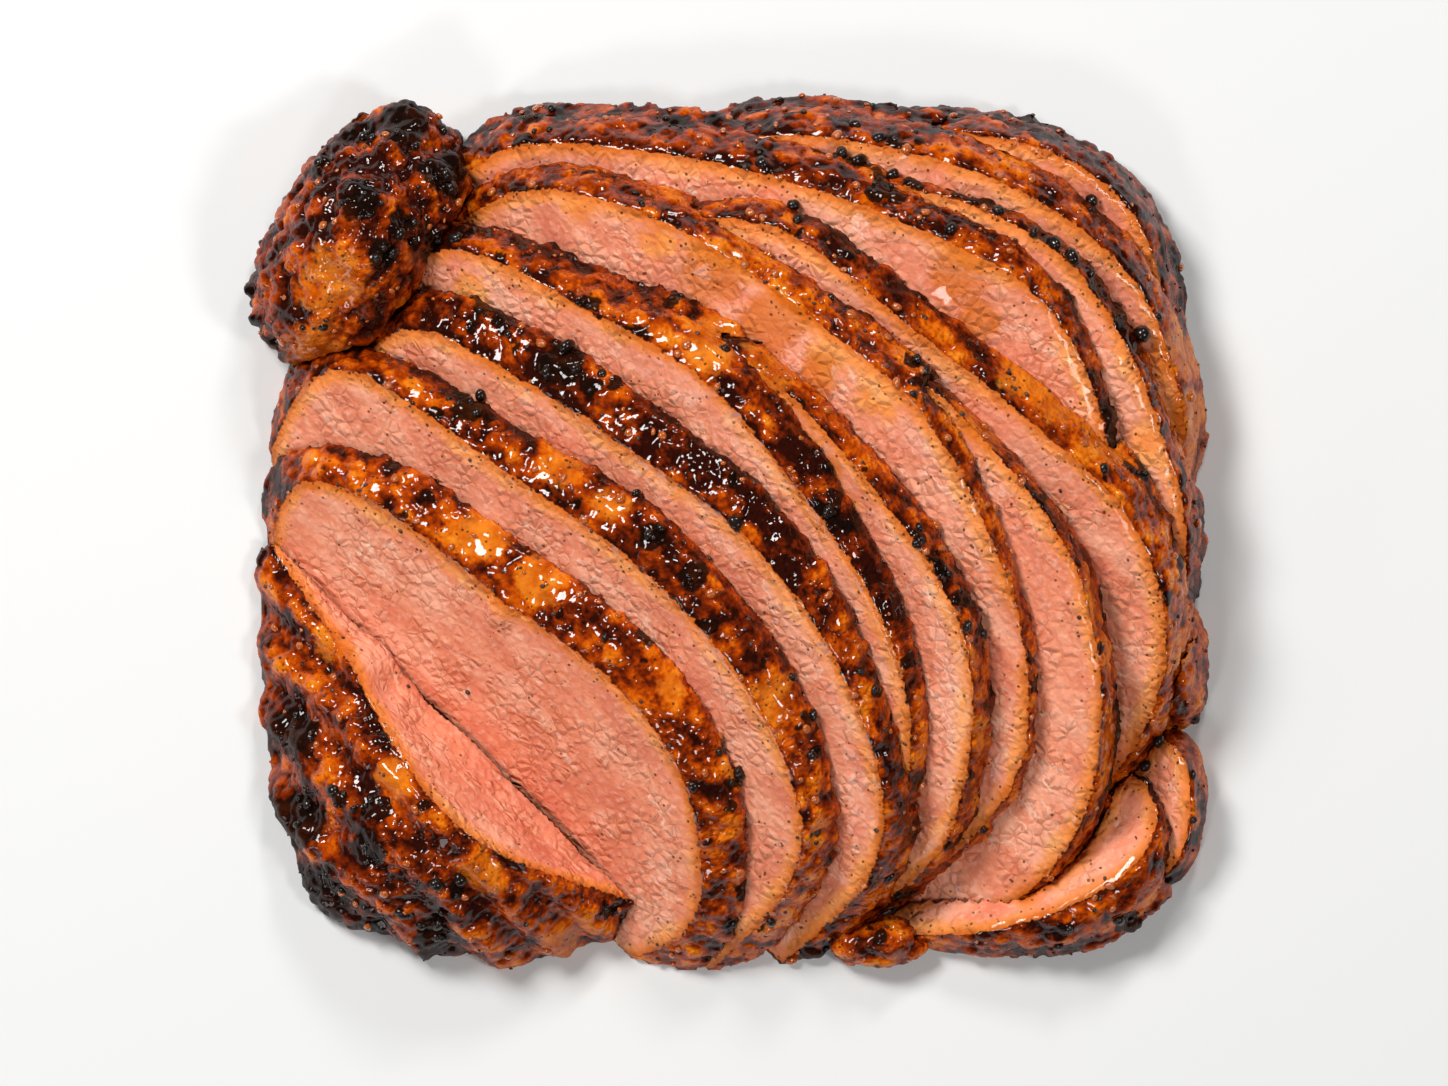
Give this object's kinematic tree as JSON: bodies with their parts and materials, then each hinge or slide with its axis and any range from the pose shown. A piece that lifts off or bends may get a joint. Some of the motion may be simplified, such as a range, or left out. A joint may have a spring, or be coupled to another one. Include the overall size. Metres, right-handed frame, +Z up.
{
  "type": "spiral cut ham",
  "caption": "Glazed, peppered ham in fanned spiral-cut slices that lean back on one another from a crusted heel, with the shank knuckle behind.",
  "frame": {"origin": "on the resting plane, under the middle of the ham's footprint", "axes": "+Z up; +X along the ham's longer side; the cut faces look towards -X and -Y and climb towards +X and +Y"},
  "size_m": [0.1923, 0.1768, 0.046],
  "materials": {
    "cut_meat": "moist, cut",
    "crust": "wet glaze over browned crust"
  },
  "bodies": {
    "root": {"heel": "crust", "slice_01": "cut_meat", "slice_02": "cut_meat", "slice_03": "cut_meat", "slice_04": "cut_meat", "slice_05": "cut_meat", "slice_06": "cut_meat", "slice_07": "cut_meat", "slice_08": "cut_meat", "slice_09": "cut_meat", "slice_10": "cut_meat", "slice_11": "cut_meat", "slice_12": "cut_meat", "fallen_end": "cut_meat", "fallen_slice": "cut_meat", "shank_knuckle": "crust", "trimming_right": "crust", "trimming_front": "crust"}
  },
  "joints": []
}
